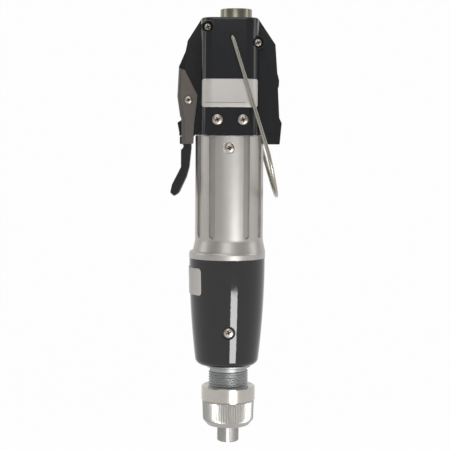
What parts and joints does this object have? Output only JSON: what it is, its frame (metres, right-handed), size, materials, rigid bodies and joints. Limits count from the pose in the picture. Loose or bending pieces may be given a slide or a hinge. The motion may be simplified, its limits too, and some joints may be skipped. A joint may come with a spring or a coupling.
{
  "type": "electric torque screwdriver",
  "caption": "Upright electric screwdriver with torque nut, bit collar, start lever, direction rocker, hanger bail and planetary gearbox.",
  "frame": {"origin": "centre of the bit collar's mouth, at its lower rim", "axes": "+Z along the tool's axis up to the power connector, -Y the front with the rating plate, -X the lever, +X the direction rocker"},
  "size_m": [0.0635, 0.0482, 0.2488],
  "materials": {
    "black_housing": "gloss",
    "black_tail": "satin",
    "cast_aluminium": "satin",
    "pewter_sheet": "satin",
    "nickel_wire": "polished",
    "bright_screw": "polished",
    "label_foil": "satin",
    "turned_steel": "satin",
    "bearing_steel": "polished",
    "spring_steel": "satin",
    "gear_steel": "satin",
    "iron_core": "matt",
    "copper_part": "satin",
    "brass_part": "satin",
    "black_insert": "matt",
    "circuit_laminate": "satin"
  },
  "bodies": {
    "root": {"head_front_shell": "black_housing", "head_rear_shell": "black_housing", "barrel": "cast_aluminium", "clutch_casing": "black_housing", "rating_plate": "label_foil", "casing_badge": "label_foil", "connector_shell": "nickel_wire", "connector_insert": "black_insert", "connector_contacts": "brass_part", "circuit_board": "circuit_laminate", "start_switch": "black_insert", "direction_switch": "black_insert", "motor_can": "turned_steel", "motor_magnets": "iron_core", "motor_end_cap": "black_insert", "brush_holders": "brass_part", "carbon_brushes": "iron_core", "shaft_bushes": "brass_part", "gear_case": "cast_aluminium", "ring_gear": "gear_steel", "nose_tube": "turned_steel", "bearing_outer_race": "bearing_steel", "bearing_balls": "bearing_steel", "frame_screws": "bright_screw", "casing_screw": "bright_screw", "barrel_screw": "bright_screw", "head_screws": "bright_screw", "lever_pivot": "bright_screw", "clutch_spring": "spring_steel"},
    "rotor": {"motor_shaft": "turned_steel", "armature_core": "iron_core", "armature_winding": "copper_part", "commutator": "copper_part", "sun_gear": "gear_steel"},
    "first_carrier": {"first_carrier": "turned_steel"},
    "first_planet_1": {"first_planet_1": "gear_steel"},
    "first_planet_2": {"first_planet_2": "gear_steel"},
    "first_planet_3": {"first_planet_3": "gear_steel"},
    "output_carrier": {"output_carrier": "turned_steel", "bearing_inner_race": "bearing_steel", "drive_plate": "turned_steel", "clutch_balls": "bearing_steel"},
    "output_planet_1": {"output_planet_1": "gear_steel"},
    "output_planet_2": {"output_planet_2": "gear_steel"},
    "output_planet_3": {"output_planet_3": "gear_steel"},
    "spindle": {"spindle": "turned_steel", "stop_ring": "turned_steel", "detent_balls": "bearing_steel", "collar_spring": "spring_steel"},
    "clutch_cam": {"cam_plate": "turned_steel", "thrust_washer": "turned_steel"},
    "bit_collar": {"bit_collar": "turned_steel"},
    "spring_seat": {"spring_seat": "turned_steel"},
    "torque_nut": {"torque_nut": "turned_steel"},
    "lever": {"lever_channel": "pewter_sheet", "lever_tail": "black_tail"},
    "start_plunger": {"start_plunger": "black_insert"},
    "direction_rocker": {"direction_rocker": "black_housing"},
    "bail": {"hanger_bail": "nickel_wire"}
  },
  "joints": [
    {"name": "rotor_spin", "type": "hinge", "parent": "root", "child": "rotor", "pos_m": [0, 0, 0.1357], "axis": [0, 0, 1], "continuous": true},
    {"name": "first_stage_spin", "type": "hinge", "parent": "root", "child": "first_carrier", "pos_m": [0, 0, 0.0897], "axis": [0, 0, 1], "continuous": true},
    {"name": "output_stage_spin", "type": "hinge", "parent": "root", "child": "output_carrier", "pos_m": [0, 0, 0.0787], "axis": [0, 0, 1], "continuous": true},
    {"name": "spindle_spin", "type": "hinge", "parent": "root", "child": "spindle", "pos_m": [0, 0, 0.0417], "axis": [0, 0, 1], "continuous": true},
    {"name": "first_planet_1_spin", "type": "hinge", "parent": "first_carrier", "child": "first_planet_1", "pos_m": [0.0075, 0, 0.0947], "axis": [0, 0, 1], "continuous": true},
    {"name": "first_planet_2_spin", "type": "hinge", "parent": "first_carrier", "child": "first_planet_2", "pos_m": [-0.00375, 0.00649, 0.0947], "axis": [0, 0, 1], "continuous": true},
    {"name": "first_planet_3_spin", "type": "hinge", "parent": "first_carrier", "child": "first_planet_3", "pos_m": [-0.00375, -0.00649, 0.0947], "axis": [0, 0, 1], "continuous": true},
    {"name": "output_planet_1_spin", "type": "hinge", "parent": "output_carrier", "child": "output_planet_1", "pos_m": [0.0075, 0, 0.0843], "axis": [0, 0, 1], "continuous": true},
    {"name": "output_planet_2_spin", "type": "hinge", "parent": "output_carrier", "child": "output_planet_2", "pos_m": [-0.00375, 0.00649, 0.0843], "axis": [0, 0, 1], "continuous": true},
    {"name": "output_planet_3_spin", "type": "hinge", "parent": "output_carrier", "child": "output_planet_3", "pos_m": [-0.00375, -0.00649, 0.0843], "axis": [0, 0, 1], "continuous": true},
    {"name": "clutch_release", "type": "slide", "parent": "spindle", "child": "clutch_cam", "axis": [0, 0, -1], "range_m": [0, 0.0012], "stiffness_N_per_m": 800, "springref_m": -0.004},
    {"name": "collar_slide", "type": "slide", "parent": "spindle", "child": "bit_collar", "axis": [0, 0, 1], "range_m": [0, 0.003], "stiffness_N_per_m": 300, "springref_m": -0.005, "deforming": ["collar_spring"]},
    {"name": "torque_slide", "type": "slide", "parent": "root", "child": "spring_seat", "axis": [0, 0, 1], "range_m": [-0.00225, 0.00675], "deforming": ["clutch_spring"]},
    {"name": "torque_turn", "type": "hinge", "parent": "spring_seat", "child": "torque_nut", "pos_m": [0, 0, 0.0212], "axis": [0, 0, 1], "range_deg": [-540, 1620]},
    {"name": "lever_press", "type": "hinge", "parent": "root", "child": "lever", "pos_m": [-0.0234, 0, 0.1972], "axis": [0, -1, 0], "range_deg": [0, 3.8], "stiffness_Nm_per_rad": 1.5, "springref_deg": -2.86},
    {"name": "plunger_slide", "type": "slide", "parent": "root", "child": "start_plunger", "axis": [1, 0, 0], "range_m": [0, 0.0005]},
    {"name": "rocker_tilt", "type": "hinge", "parent": "root", "child": "direction_rocker", "pos_m": [0.0238, 0, 0.2093], "axis": [0, 1, 0], "range_deg": [0, 16]},
    {"name": "bail_swing", "type": "hinge", "parent": "root", "child": "bail", "pos_m": [0.0013, 0, 0.2322], "axis": [0, -1, 0], "range_deg": [-3.5, 250]}
  ],
  "couplings": [
    {"joint": "first_stage_spin", "follows": "rotor_spin", "ratio": 0.2},
    {"joint": "output_stage_spin", "follows": "rotor_spin", "ratio": 0.04},
    {"joint": "spindle_spin", "follows": "rotor_spin", "ratio": 0.04},
    {"joint": "torque_slide", "follows": "torque_turn", "m_per_rad": 0.00023873},
    {"joint": "plunger_slide", "follows": "lever_press", "m_per_rad": 0.0075},
    {"joint": "first_planet_1_spin", "follows": "rotor_spin", "ratio": -0.53333},
    {"joint": "output_planet_1_spin", "follows": "rotor_spin", "ratio": -0.10667},
    {"joint": "first_planet_2_spin", "follows": "rotor_spin", "ratio": -0.53333},
    {"joint": "output_planet_2_spin", "follows": "rotor_spin", "ratio": -0.10667},
    {"joint": "first_planet_3_spin", "follows": "rotor_spin", "ratio": -0.53333},
    {"joint": "output_planet_3_spin", "follows": "rotor_spin", "ratio": -0.10667}
  ]
}
